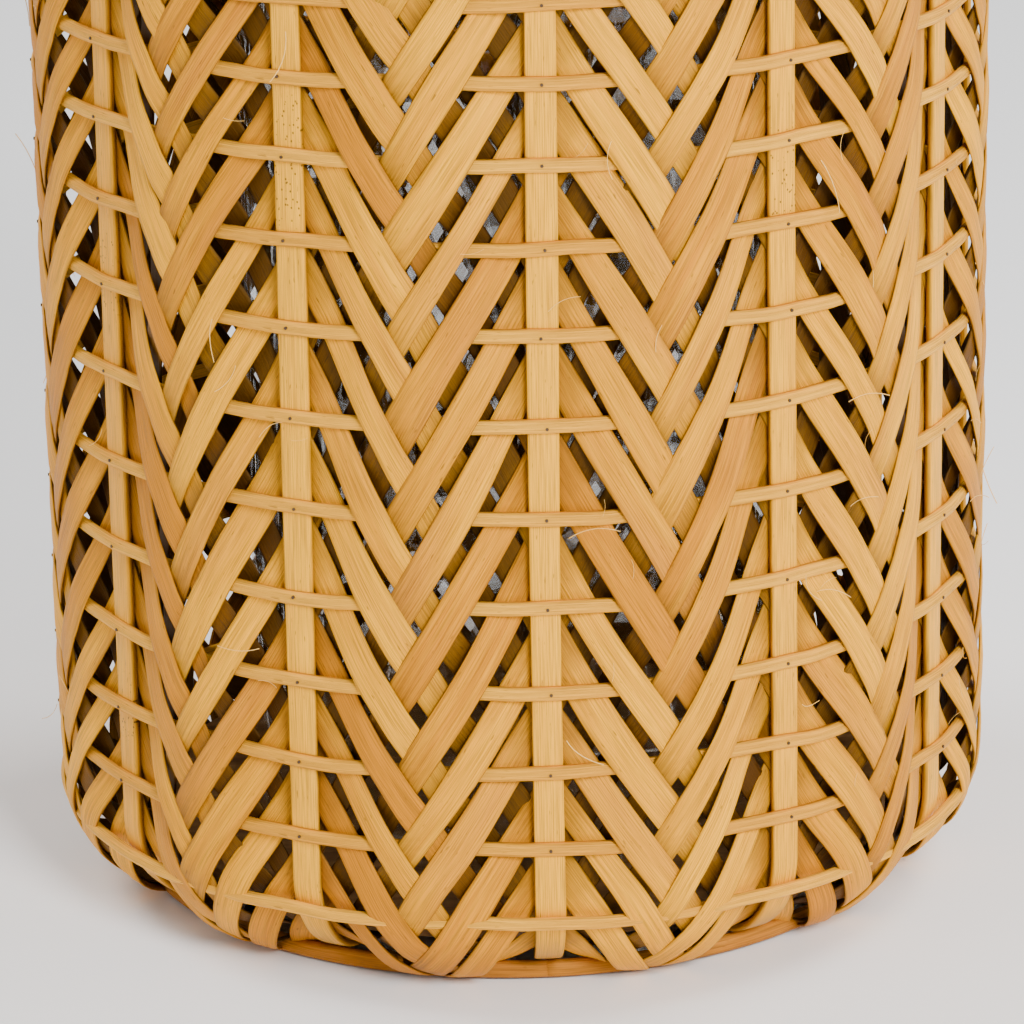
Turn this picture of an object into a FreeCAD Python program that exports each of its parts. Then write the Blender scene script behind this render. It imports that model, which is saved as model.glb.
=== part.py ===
"""Woven cane candle lantern: an open herringbone basket that holds a lift-out glass cylinder.

Frame: +Z is up, the foot ring stands on Z = 0, and the origin is on the lantern's axis.
The front is -Y.  Sizes are in millimetres.
"""
import FreeCAD, Part
import Sketcher
import math
import os

doc = FreeCAD.newDocument("Lantern")

# ---------------------------------------------------------------- driving sizes
SIZES = (
    ("wall_radius", 120.0, "middle of the stakes, on the straight wall"),
    ("body_height", 345.0, "table to the top of the rim"),
    ("corner_radius", 26.0, "bend of the stakes at the foot and at the rim"),
    ("corner_inset", 24.0, "how far the stakes turn in past the wall"),
    ("stake_count", 12.0, "upright stakes"),
    ("stake_width", 8.0, "flat split-bamboo stake"),
    ("stake_thickness", 1.8, "flat split-bamboo stake"),
    ("strip_count", 60.0, "diagonal strips each way"),
    ("strip_width", 9.0, "diagonal strip, across its grain"),
    ("strip_thickness", 0.9, "diagonal strip"),
    ("strip_drop", 5.0, "crossing of two strips behind a stake, below each rod"),
    ("layer_gap", 0.35, "room between two layers of the weave"),
    ("rod_radius", 1.9, "half-round cane rod"),
    ("rod_gap", 0.15, "room between a rod and the stakes under it"),
    ("first_row", 44.5, "lowest rod on the straight wall, and the highest from the top"),
    ("row_pitch", 21.3, "rod to rod, before it is fitted to the height"),
    ("row_drift", 3.6, "how far the rods wander from an even pitch"),
    ("corner_rod_radius", 1.7, "round cane rod on each bend"),
    ("corner_rod_turn", 17.0, "place of that rod round the bend, degrees"),
    ("pin_radius", 0.7, "steel brad through a rod and a stake"),
    ("pin_proud", 0.5, "brad standing out of its rod"),
    ("ring_height", 4.4, "foot ring and rim ring"),
    ("ring_thickness", 3.5, "foot ring and rim ring"),
    ("end_height", 6.0, "middle of a stake's end over the table"),
    ("mouth_cane_radius", 3.0, "round cane inside the mouth"),
    ("mouth_gap", 0.3, "room between that cane and the strip ends"),
    ("board_lap", 3.0, "how far the plywood floor reaches over the strip ends"),
    ("board_thickness", 5.0, "plywood floor"),
    ("glass_room", 18.8, "room between the mouth and the glass"),
    ("glass_wall", 3.2, "glass cylinder's wall"),
    ("glass_floor", 6.0, "glass cylinder's floor"),
    ("glass_below_rim", 25.0, "top of the glass below the top of the rim"),
    ("glass_gap", 0.3, "room between the glass and the floor"),
    ("bail_radius", 3.5, "bent cane of the carrying bail"),
    ("bail_side_room", 12.0, "middle of the bail outside the middle of the stakes"),
    ("bail_leg", 30.0, "straight leg between the stud and the bow"),
    ("bail_back_room", 9.38, "middle of the folded bow behind the middle of the stakes"),
    ("eye_radius", 6.0, "eye at each end of the bail"),
    ("stud_radius", 2.0, "stud that the eye turns on"),
    ("stud_clearance", 0.08, "radial clearance of the eye on its stud"),
    ("stud_head_radius", 4.4, "stud's head and its seat"),
    ("stud_head", 1.6, "thickness of the stud's head and of its seat"),
    ("eye_side_gap", 0.5, "end play of the eye between seat and head"),
)

sheet = doc.addObject("Spreadsheet::Sheet", "sizes")
for row, (alias, number, note) in enumerate(SIZES, start=1):
    sheet.set(f"A{row}", note)
    sheet.set(f"B{row}", str(number))
    sheet.setAlias(f"B{row}", alias)
tied_row = len(SIZES) + 1
sheet.set(f"A{tied_row}", "eye along its stud, as long as the cane is thick")
sheet.set(f"B{tied_row}", "=2 * bail_radius")
sheet.setAlias(f"B{tied_row}", "eye_length")
doc.recompute()


def size(alias):
    """The number that the sheet holds for one size."""
    return float(getattr(sheet, alias))


# ---------------------------------------------------------------- derived places
wall_radius = size("wall_radius")
body_height = size("body_height")
corner_radius = size("corner_radius")
stake_half = size("stake_thickness") / 2
end_turn = math.acos(1 - size("corner_inset") / corner_radius)
bend_height = size("end_height") + corner_radius * math.sin(end_turn)
end_radius = wall_radius - size("corner_inset")

row_span = body_height - 2 * size("first_row")
row_count = round(row_span / size("row_pitch")) + 1
row_pitch = row_span / (row_count - 1)
DRIFT_ROWS = 11
DRIFT_START = 4.4
DRIFT_LEVEL = 1.0 / 3


def row_height(index):
    """Height of a rod on the straight wall: even steps, with the weaver's slow drift."""
    swing = math.sin(2 * math.pi * (index - DRIFT_START) / DRIFT_ROWS) + DRIFT_LEVEL
    return size("first_row") + row_pitch * index + size("row_drift") * swing


def wall_point(turn, offset, top):
    """Radius and height on a bend, where turn is 0 on the wall, and offset is outwards."""
    radius = wall_radius - corner_radius + (corner_radius + offset) * math.cos(turn)
    height = bend_height - (corner_radius + offset) * math.sin(turn)
    if top:
        height = body_height - height
    return radius, height


def turned(degrees):
    """Placement that turns a piece about the lantern's axis."""
    axis = FreeCAD.Vector(0, 0, 1)
    return FreeCAD.Placement(FreeCAD.Vector(), FreeCAD.Rotation(axis, degrees))


def primitive(kind, name, **bindings):
    """A Part primitive whose properties follow expressions over the sheet."""
    piece = doc.addObject(kind, name)
    for prop, expression in bindings.items():
        piece.setExpression(prop, expression)
    return piece


def cut(name, base, tool):
    """Base with the tool taken out of it."""
    piece = doc.addObject("Part::Cut", name)
    piece.Base = base
    piece.Tool = tool
    return piece


def lift(piece, height):
    """Set a piece's height without turning it."""
    piece.Placement = FreeCAD.Placement(FreeCAD.Vector(0, 0, height), FreeCAD.Rotation())


nodes = []


def node(piece, label):
    """Name a finished sub-part."""
    piece.Label = label
    nodes.append(piece)
    return piece


# ---------------------------------------------------------------- stakes
# A stake is one flat strip of split bamboo, bent in at the foot and at the rim.
def stake_outline():
    """Side view of a stake: two concentric bends joined by a straight run."""
    sketch = doc.addObject("Sketcher::SketchObject", "stake_outline")
    sketch.Placement = FreeCAD.Placement(
        FreeCAD.Vector(), FreeCAD.Rotation(FreeCAD.Vector(1, 0, 0), 90))
    centre_x = wall_radius - corner_radius
    low = FreeCAD.Vector(centre_x, bend_height, 0)
    high = FreeCAD.Vector(centre_x, body_height - bend_height, 0)
    normal = FreeCAD.Vector(0, 0, 1)
    outer = corner_radius + stake_half
    inner = corner_radius - stake_half

    def arc(centre, radius, start, end):
        return Part.ArcOfCircle(Part.Circle(centre, normal, radius), start, end)

    def at(centre, radius, angle):
        return centre + FreeCAD.Vector(radius * math.cos(angle), radius * math.sin(angle), 0)

    sketch.addGeometry([
        Part.LineSegment(at(low, outer, 0), at(high, outer, 0)),
        arc(high, outer, 0, end_turn),
        Part.LineSegment(at(high, outer, end_turn), at(high, inner, end_turn)),
        arc(high, inner, 0, end_turn),
        Part.LineSegment(at(high, inner, 0), at(low, inner, 0)),
        arc(low, inner, -end_turn, 0),
        Part.LineSegment(at(low, inner, -end_turn), at(low, outer, -end_turn)),
        arc(low, outer, -end_turn, 0),
    ], False)
    start, end, middle = 1, 2, 3
    joins = (
        ("Tangent", 0, end, 1, start), ("Coincident", 1, end, 2, start),
        ("Coincident", 2, end, 3, end), ("Tangent", 3, start, 4, start),
        ("Tangent", 4, end, 5, end), ("Coincident", 5, start, 6, start),
        ("Coincident", 6, end, 7, start), ("Tangent", 7, end, 0, start),
        ("Coincident", 1, middle, 3, middle), ("Coincident", 5, middle, 7, middle),
        ("PointOnObject", 1, middle, 2), ("PointOnObject", 7, middle, 6), ("Vertical", 0),
    )
    for join in joins:
        sketch.addConstraint(Sketcher.Constraint(*join))
    end_x = "sizes.wall_radius - sizes.corner_radius + (sizes.corner_radius" \
            " + sizes.stake_thickness / 2) * (1 - sizes.corner_inset / sizes.corner_radius)"
    sine = "sqrt(1 - (1 - sizes.corner_inset / sizes.corner_radius) ^ 2)"
    bend_z = f"sizes.end_height + sizes.corner_radius * {sine}"
    origin = (-1, start)
    drives = (
        (("Radius", 1, outer), "sizes.corner_radius + sizes.stake_thickness / 2"),
        (("Radius", 3, inner), "sizes.corner_radius - sizes.stake_thickness / 2"),
        (("Radius", 7, outer), "sizes.corner_radius + sizes.stake_thickness / 2"),
        (("DistanceX", *origin, 1, middle, centre_x), "sizes.wall_radius - sizes.corner_radius"),
        (("DistanceY", *origin, 7, middle, bend_height), bend_z),
        (("DistanceY", *origin, 1, middle, high.y), f"sizes.body_height - ({bend_z})"),
        (("DistanceX", *origin, 1, end, at(high, outer, end_turn).x), end_x),
        (("DistanceX", *origin, 7, start, at(low, outer, -end_turn).x), end_x),
    )
    for constraint, expression in drives:
        index = sketch.addConstraint(Sketcher.Constraint(*constraint))
        sketch.setExpression(f"Constraints[{index}]", expression)
    return sketch


FRONT = -90.0
stake_count = int(size("stake_count"))
stake_step = 360.0 / stake_count
outline = stake_outline()
for number in range(stake_count):
    stake = doc.addObject("Part::Extrusion", f"stake_{number + 1:02d}")
    stake.Base = outline
    stake.DirMode = "Normal"
    stake.Solid = True
    stake.Symmetric = True
    stake.setExpression("LengthFwd", "sizes.stake_width")
    stake.Placement = turned(FRONT + stake_step * number)
    node(stake, f"stake_{number + 1:02d}")

# ---------------------------------------------------------------- rods
# Each rod is a half-round cane hoop that lies flat side in against the stakes.
# The stakes are flat, so a rod clears their edges, which stand further out than their middles.
stake_edge = math.hypot(wall_radius + stake_half, size("stake_width") / 2)
ROD_SEAT = "(sqrt((sizes.wall_radius + sizes.stake_thickness / 2) ^ 2" \
           " + (sizes.stake_width / 2) ^ 2) + sizes.rod_gap)"
rod_seat = stake_edge + size("rod_gap")
def rod_section():
    """Half disc, flat side towards the axis, that a rod's hoop is turned from."""
    sketch = doc.addObject("Sketcher::SketchObject", "rod_section")
    sketch.Placement = FreeCAD.Placement(
        FreeCAD.Vector(), FreeCAD.Rotation(FreeCAD.Vector(1, 0, 0), 90))
    radius = size("rod_radius")
    middle = FreeCAD.Vector(rod_seat, 0, 0)
    low = FreeCAD.Vector(rod_seat, -radius, 0)
    high = FreeCAD.Vector(rod_seat, radius, 0)
    circle = Part.Circle(middle, FreeCAD.Vector(0, 0, 1), radius)
    sketch.addGeometry([
        Part.ArcOfCircle(circle, -math.pi / 2, math.pi / 2),
        Part.LineSegment(high, low),
    ], False)
    for join in (("Coincident", 0, 2, 1, 1), ("Coincident", 0, 1, 1, 2), ("Vertical", 1),
                 ("PointOnObject", 0, 3, 1), ("PointOnObject", 0, 3, -1)):
        sketch.addConstraint(Sketcher.Constraint(*join))
    for drive, expression in ((("Radius", 0, radius), "sizes.rod_radius"),
                              (("DistanceX", -1, 1, 0, 3, rod_seat), ROD_SEAT)):
        index = sketch.addConstraint(Sketcher.Constraint(*drive))
        sketch.setExpression(f"Constraints[{index}]", expression)
    return sketch


row_places = []
section = rod_section()
for index in range(row_count):
    name = f"rod_{index + 1:02d}"
    hoop = doc.addObject("Part::Revolution", name)
    hoop.Source = section
    hoop.Axis = FreeCAD.Vector(0, 0, 1)
    hoop.Angle = 360
    hoop.Solid = True
    height = row_height(index)
    lift(hoop, height)
    node(hoop, name)
    row_places.append((rod_seat + size("rod_radius"), height, 0.0))

# One round rod lies on each bend.
corner_turn = math.radians(size("corner_rod_turn"))
corner_offset = stake_half + size("rod_gap") + size("corner_rod_radius")
for name, top in (("foot_bend_rod", False), ("rim_bend_rod", True)):
    radius, height = wall_point(corner_turn, corner_offset, top)
    rod = primitive("Part::Torus", name, Radius2="sizes.corner_rod_radius")
    rod.setExpression(
        "Radius1", "sizes.wall_radius - sizes.corner_radius + (sizes.corner_radius"
        " + sizes.stake_thickness / 2 + sizes.rod_gap + sizes.corner_rod_radius)"
        " * cos(sizes.corner_rod_turn * 1 deg)")
    lift(rod, height)
    node(rod, name)
    head = wall_point(corner_turn, corner_offset + size("corner_rod_radius"), top)
    row_places.append((*head, size("corner_rod_turn") * (1 if top else -1)))

# ---------------------------------------------------------------- brads
# A steel brad holds each rod to each stake.  Its head stands a little out of the rod.
def brad(head_radius, head_height, tilt, length):
    """One brad, driven inwards along the wall's normal at its head."""
    start = FreeCAD.Vector(head_radius, 0, head_height)
    slope = math.radians(tilt)
    outward = FreeCAD.Vector(math.cos(slope), 0, math.sin(slope))
    return Part.makeCylinder(
        size("pin_radius"), length, start + outward * size("pin_proud"), outward * -1)


brads = []
for head_radius, head_height, tilt in row_places:
    rod_depth = size("rod_radius") if tilt == 0 else 2 * size("corner_rod_radius")
    length = size("pin_proud") + rod_depth + size("rod_gap") + size("stake_thickness")
    single = brad(head_radius, head_height, tilt, length)
    for number in range(stake_count):
        copy = single.copy()
        copy.rotate(FreeCAD.Vector(), FreeCAD.Vector(0, 0, 1), FRONT + stake_step * number)
        brads.append(copy)
pins = doc.addObject("Part::Feature", "rod_brads")
pins.Shape = Part.Compound(brads)
node(pins, "rod_brads")


# ---------------------------------------------------------------- diagonal strips
# Two layers of flat strips cross behind the stakes, one leaning each way.
BEND_STEPS = 5
WALL_STEPS = 9


def wall_path():
    """Arc length, turn and height data down the middle of the wall, foot to rim."""
    stations = []
    bend_length = corner_radius * end_turn
    straight = body_height - 2 * bend_height
    for step in range(BEND_STEPS):
        share = step / BEND_STEPS
        stations.append((bend_length * share, end_turn * (1 - share), None, False))
    for step in range(WALL_STEPS + 1):
        share = step / WALL_STEPS
        stations.append((bend_length + straight * share, 0.0,
                         bend_height + straight * share, False))
    for step in range(1, BEND_STEPS + 1):
        share = step / BEND_STEPS
        stations.append((bend_length + straight + bend_length * share,
                         end_turn * share, None, True))
    return stations


def strip(lean, outer_offset):
    """One strip: a thin rectangle carried up the wall while it goes round the axis.

    It gains one strip's step round the axis for each row, so that a strip of each kind
    crosses behind every stake once between two rods.
    """
    strip_step = 2 * math.pi / size("strip_count")
    slope = math.atan(row_pitch / (strip_step * wall_radius))
    half_angle = size("strip_width") / 2 / math.sin(slope) / wall_radius
    advance = lean * strip_step / row_pitch
    crossing = corner_radius * end_turn + size("first_row") - size("strip_drop") - bend_height
    offsets = (outer_offset, outer_offset - size("strip_thickness"))
    sections = []
    for length, turn, height, top in wall_path():
        middle = advance * (length - crossing)
        corners = []
        for offset, side in ((0, -1), (0, 1), (1, 1), (1, -1)):
            if height is None:
                radius, level = wall_point(turn, offsets[offset], top)
            else:
                radius = wall_radius + offsets[offset]
                level = height
            angle = middle + side * half_angle
            corners.append(FreeCAD.Vector(
                radius * math.cos(angle), radius * math.sin(angle), level))
        sections.append(Part.makePolygon(corners + corners[:1]))
    return Part.makeLoft(sections, True, False)


def strip_layer(name, lean, outer_offset):
    """Every strip that leans one way, evenly round the basket."""
    single = strip(lean, outer_offset)
    count = int(size("strip_count"))
    copies = []
    for number in range(count):
        copy = single.copy()
        copy.rotate(FreeCAD.Vector(), FreeCAD.Vector(0, 0, 1),
                    FRONT + 360.0 * number / count)
        copies.append(copy)
    layer = doc.addObject("Part::Feature", name)
    layer.Shape = Part.Compound(copies)
    return node(layer, name)


outer_layer = -stake_half - size("layer_gap")
inner_layer = outer_layer - size("strip_thickness") - size("layer_gap")
strip_layer("right_leaning_strips", 1, outer_layer)
strip_layer("left_leaning_strips", -1, inner_layer)

# ---------------------------------------------------------------- foot, rim and mouth
# A flattened cane ring carries the lantern, and its twin closes the rim.
RING_OUTER = "sizes.wall_radius - sizes.corner_inset + sizes.ring_thickness + 3"
RING_INNER = "sizes.wall_radius - sizes.corner_inset + 3"
for name, height in (("foot_ring", 0.0), ("rim_ring", body_height - size("ring_height"))):
    disc = primitive("Part::Cylinder", name + "_disc", Radius=RING_OUTER,
                     Height="sizes.ring_height")
    bore = primitive("Part::Cylinder", name + "_bore", Radius=RING_INNER,
                     Height="sizes.ring_height * 3")
    lift(disc, height)
    lift(bore, height - size("ring_height"))
    node(cut(name, disc, bore), name)

# A round cane lines the mouth, just inside the ends of the strips.
mouth = primitive(
    "Part::Torus", "mouth_cane", Radius2="sizes.mouth_cane_radius",
    Radius1="sizes.wall_radius - sizes.corner_inset - sizes.mouth_gap - sizes.mouth_cane_radius"
            " - sizes.strip_thickness")
lift(mouth, body_height - size("end_height") - size("layer_gap"))
node(mouth, "mouth_cane")

# ---------------------------------------------------------------- floor
# The plywood floor lies on the turned-in ends of the strips.
strips_inside = -inner_layer + size("strip_thickness")
BOARD_RADIUS = "sizes.wall_radius - sizes.corner_inset + sizes.board_lap"
board_radius = end_radius + size("board_lap")
board_turn = math.acos((board_radius - wall_radius + corner_radius)
                       / (corner_radius - strips_inside))
floor_under = bend_height - (corner_radius - strips_inside) * math.sin(board_turn) \
    + size("layer_gap")
board = primitive("Part::Cylinder", "floor_board", Radius=BOARD_RADIUS,
                  Height="sizes.board_thickness")
lift(board, floor_under)
node(board, "floor_board")
floor_top = floor_under + size("board_thickness")

# ---------------------------------------------------------------- glass
# The glass stands on the floor and lifts straight out of the mouth.
GLASS_RADIUS = "(sizes.wall_radius - sizes.corner_inset - sizes.strip_thickness" \
               " - sizes.mouth_gap - 2 * sizes.mouth_cane_radius - sizes.glass_room)"
glass_foot = floor_top + size("glass_gap")
glass_height = body_height - size("glass_below_rim") - glass_foot
glass_out = primitive("Part::Cylinder", "glass_outside", Radius=GLASS_RADIUS)
glass_in = primitive("Part::Cylinder", "glass_inside",
                     Radius=GLASS_RADIUS + " - sizes.glass_wall")
glass_out.Height = glass_height
glass_in.Height = glass_height
lift(glass_out, glass_foot)
lift(glass_in, glass_foot + size("glass_floor"))
node(cut("glass_cylinder", glass_out, glass_in), "glass_cylinder")

# ---------------------------------------------------------------- bail and its studs
# A bent cane bail turns on two studs, one on the stake at each side, between two rods.
stud_height = (row_height(row_count - 1) + row_height(row_count - 2)) / 2
bail_half = wall_radius + size("bail_side_room")
leg_end = size("bail_leg")
bow_top = FreeCAD.Vector(0, leg_end + bail_half, 0)
fold = math.degrees(math.acos((wall_radius + size("bail_back_room")) / bow_top.y))
ends = {side: FreeCAD.Vector(side * bail_half, 0, 0) for side in (-1, 1)}
knees = {side: FreeCAD.Vector(side * bail_half, leg_end, 0) for side in (-1, 1)}
bail_path = Part.Wire([
    Part.LineSegment(ends[-1], knees[-1]).toShape(),
    Part.Arc(knees[-1], bow_top, knees[1]).toShape(),
    Part.LineSegment(knees[1], ends[1]).toShape(),
])
bail_section = Part.Wire(Part.makeCircle(size("bail_radius"), ends[-1], FreeCAD.Vector(0, 1, 0)))
cane = doc.addObject("Part::Feature", "bail_cane")
cane.Shape = bail_path.makePipeShell([bail_section], True, False)
solids = [cane]
holes = []
along_x = FreeCAD.Rotation(FreeCAD.Vector(0, 1, 0), 90)
for side, word in ((-1, "left"), (1, "right")):
    eye = primitive("Part::Cylinder", f"bail_eye_{word}", Radius="sizes.eye_radius",
                    Height="sizes.eye_length")
    hole = primitive("Part::Cylinder", f"bail_hole_{word}",
                     Radius="sizes.stud_radius + sizes.stud_clearance",
                     Height="sizes.eye_length * 3")
    eye.Placement = FreeCAD.Placement(
        FreeCAD.Vector(side * bail_half - size("eye_length") / 2, 0, 0), along_x)
    hole.Placement = FreeCAD.Placement(
        FreeCAD.Vector(side * bail_half - size("eye_length") * 1.5, 0, 0), along_x)
    solids.append(eye)
    holes.append(hole)
bail_solid = doc.addObject("Part::MultiFuse", "bail_solid")
bail_solid.Shapes = solids
bail_holes = doc.addObject("Part::MultiFuse", "bail_holes")
bail_holes.Shapes = holes
bail = cut("bail_handle", bail_solid, bail_holes)
bail.Placement = FreeCAD.Placement(
    FreeCAD.Vector(0, 0, stud_height),
    FreeCAD.Rotation(FreeCAD.Vector(1, 0, 0), -fold))
node(bail, "bail_handle")

seat_start = wall_radius + stake_half + size("rod_gap")
eye_start = bail_half - size("eye_length") / 2
head_start = bail_half + size("eye_length") / 2 + size("eye_side_gap")
STUD_LENGTH = "sizes.bail_side_room + sizes.eye_length / 2 + sizes.eye_side_gap" \
              " + sizes.stud_head - sizes.stake_thickness / 2 - sizes.rod_gap"
SEAT_LENGTH = "sizes.bail_side_room - sizes.eye_length / 2 - sizes.eye_side_gap" \
              " - sizes.stake_thickness / 2 - sizes.rod_gap"
for side, word in ((-1, "left"), (1, "right")):
    outward = FreeCAD.Rotation(FreeCAD.Vector(0, 1, 0), 90 * side)
    shank = primitive("Part::Cylinder", f"stud_shank_{word}", Radius="sizes.stud_radius",
                      Height=STUD_LENGTH)
    seat = primitive("Part::Cylinder", f"stud_seat_{word}", Radius="sizes.stud_head_radius",
                     Height=SEAT_LENGTH)
    head = primitive("Part::Cylinder", f"stud_head_{word}", Radius="sizes.stud_head_radius",
                     Height="sizes.stud_head")
    for piece, start in ((shank, seat_start), (seat, seat_start), (head, head_start)):
        piece.Placement = FreeCAD.Placement(
            FreeCAD.Vector(side * start, 0, stud_height), outward)
    stud = doc.addObject("Part::MultiFuse", f"bail_stud_{word}")
    stud.Shapes = [shank, seat, head]
    node(stud, f"bail_stud_{word}")

# ---------------------------------------------------------------- check and write
doc.recompute()
for item in doc.Objects:
    if "Invalid" in item.State or "Error" in item.State:
        raise RuntimeError(f"{item.Label} failed: {item.State}")
for piece in nodes:
    shape = piece.Shape
    if shape.isNull() or not shape.isValid() or not shape.Solids:
        raise RuntimeError(f"{piece.Label} is not a valid solid")

os.makedirs("parts", exist_ok=True)
for piece in nodes:
    piece.Shape.exportStep(os.path.join("parts", piece.Label + ".step"))

print("rows", row_count, "pitch", round(row_pitch, 2), "rod heights",
      [round(row_height(index), 1) for index in range(row_count)])
print("floor top", round(floor_top, 2), "stud height", round(stud_height, 2),
      "bend height", round(bend_height, 2), "nodes", len(nodes))
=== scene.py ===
# Woven cane candle lantern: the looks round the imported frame.  Metres, +Z up, the front is -Y.
import bpy
import math
import numpy as np
from mathutils import Matrix, Vector


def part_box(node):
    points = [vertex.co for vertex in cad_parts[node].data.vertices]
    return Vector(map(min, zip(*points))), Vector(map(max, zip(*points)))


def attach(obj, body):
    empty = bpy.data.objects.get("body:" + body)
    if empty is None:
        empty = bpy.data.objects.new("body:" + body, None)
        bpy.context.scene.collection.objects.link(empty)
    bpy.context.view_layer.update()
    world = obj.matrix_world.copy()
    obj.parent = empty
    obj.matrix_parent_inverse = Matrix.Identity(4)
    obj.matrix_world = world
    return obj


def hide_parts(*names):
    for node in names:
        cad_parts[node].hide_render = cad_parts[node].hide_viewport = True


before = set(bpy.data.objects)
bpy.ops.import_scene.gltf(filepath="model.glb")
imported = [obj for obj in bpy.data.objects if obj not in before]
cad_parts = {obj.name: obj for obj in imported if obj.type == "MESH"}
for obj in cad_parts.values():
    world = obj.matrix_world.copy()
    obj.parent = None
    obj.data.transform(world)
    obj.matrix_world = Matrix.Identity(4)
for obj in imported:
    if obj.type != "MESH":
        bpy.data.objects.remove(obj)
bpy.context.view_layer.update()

# ---------------------------------------------------------------- stakes
# Twelve upright strips of split bamboo with the golden skin left on, satin and faintly ribbed.
# They run straight up the wall and turn in at the foot and at the rim.
MM = 0.001
STAKE_COUNT = 12
STAKE_SIDE = 3.9 * MM
STAKE_HALF = 0.9 * MM
STAKE_STATIONS = 170
STAKE_OVERRUN = 0.4 * MM
# How a stake's width, line and level stray, and in how many radians to the metre.
STAKE_STRAY, STAKE_WAVES = (0.03, 0.4 * MM, 0.12 * MM), (31, 17, 25)
STAKE_GRAIN_STEP = (0.043, 0.61)
# Inner faces of stakes and strips keep this share of their colour: painted shade inside the wall.
INNER_SHADE = 0.45
CORNER = 26.0 * MM
CORNER_INSET = 24.0 * MM
END_HEIGHT = 6.0 * MM
STAKE_LIGHT, STAKE_DARK = (0.96, 0.44, 0.003), (0.82, 0.345, 0.002)
PANEL = 2 * math.pi / STAKE_COUNT
SHARP_PROFILE = np.array([(-1.0, -0.1), (-0.97, 0.42), (-0.85, 0.5), (0.0, 0.53), (0.85, 0.5),
                          (0.97, 0.42), (1.0, -0.1), (0.92, -0.5), (0.0, -0.5), (-0.92, -0.5)])
wall_radius = -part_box("stake_01")[0][1] - STAKE_HALF
body_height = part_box("rim_ring")[1][2]
end_turn = math.acos(1 - CORNER_INSET / CORNER)
bend_length = CORNER * end_turn
bend_height = END_HEIGHT + CORNER * math.sin(end_turn)
straight = body_height - 2 * bend_height
wall_length = 2 * bend_length + straight
chance = np.random.default_rng(20)


def wall_point(length, angle, offset):
    """Point on the wall: length up from the foot, angle from the front, offset outwards."""
    length, angle, offset = np.broadcast_arrays(length, angle, offset)
    low_turn = np.maximum((bend_length - length) / CORNER, 0.0)
    high_turn = np.maximum((length - bend_length - straight) / CORNER, 0.0)
    turn = low_turn + high_turn
    radius = wall_radius - CORNER + (CORNER + offset) * np.cos(turn)
    rise = (CORNER + offset) * np.sin(turn)
    height = np.where(low_turn > 0, bend_height - rise,
                      np.where(high_turn > 0, body_height - bend_height + rise,
                               bend_height + length - bend_length))
    return np.stack([radius * np.sin(angle), -radius * np.cos(angle), height], -1)


def swept_pieces(name, grids, tones, shades, uvs, material):
    """One object of closed swept pieces, each a grid of stations by profile points by xyz."""
    faces, base = [], 0
    for grid in grids:
        stations, around = grid.shape[:2]
        index = base + np.arange(stations * around).reshape(stations, around)
        beside = np.roll(index, -1, 1)
        quads = np.stack([index[:-1], beside[:-1], beside[1:], index[1:]], -1)
        faces += quads.reshape(-1, 4).tolist()
        faces += [index[0][::-1].tolist(), index[-1].tolist()]
        base += stations * around
    mesh = bpy.data.meshes.new(name)
    mesh.from_pydata(np.concatenate([grid.reshape(-1, 3) for grid in grids]).tolist(), [], faces)
    tone = np.concatenate([np.full(grid.shape[0] * grid.shape[1], tone)
                           for grid, tone in zip(grids, tones)])
    mesh.attributes.new("tone", "FLOAT", "POINT").data.foreach_set("value", tone)
    shade = np.concatenate([np.broadcast_to(shade, grid.shape[:2]).ravel()
                            for grid, shade in zip(grids, shades)])
    mesh.attributes.new("shade", "FLOAT", "POINT").data.foreach_set("value", shade)
    corners = np.empty(len(mesh.loops), dtype=np.int64)
    mesh.loops.foreach_get("vertex_index", corners)
    uv_points = np.concatenate([uv.reshape(-1, 2) for uv in uvs])
    uv_map = mesh.uv_layers.new(name="UVMap")
    uv_map.data.foreach_set("uv", uv_points[corners].astype(np.float32).ravel())
    mesh.polygons.foreach_set("use_smooth", np.ones(len(mesh.polygons), dtype=bool))
    mesh.materials.append(material)
    mesh.update()
    made = bpy.data.objects.new(name, mesh)
    bpy.context.scene.collection.objects.link(made)
    return made


def node_adder(tree):
    """Gives the tree's own function that adds a node; an input takes a value or a socket."""
    def add(kind, inputs=None, **settings):
        node = tree.nodes.new(kind)
        for name, value in settings.items():
            setattr(node, name, value)
        for label, value in (inputs or {}).items():
            if isinstance(value, bpy.types.NodeSocket):
                tree.links.new(value, node.inputs[label])
            else:
                node.inputs[label].default_value = value
        return node
    return add


def reckon(add, operation, first, second):
    """One sum on two values or sockets."""
    return add("ShaderNodeMath", {0: first, 1: second}, operation=operation).outputs["Value"]


FLECK_COLOUR, PORE_COLOUR = (0.14, 0.05, 0.006), (0.06, 0.02, 0.004)
# Painted shade: the colour that a low shade attribute darkens the cane towards.
PAINTED_SHADE_COLOUR = (0.035, 0.016, 0.008)
WARM_GLOSS = (1.0, 0.72, 0.25, 1.0)


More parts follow.
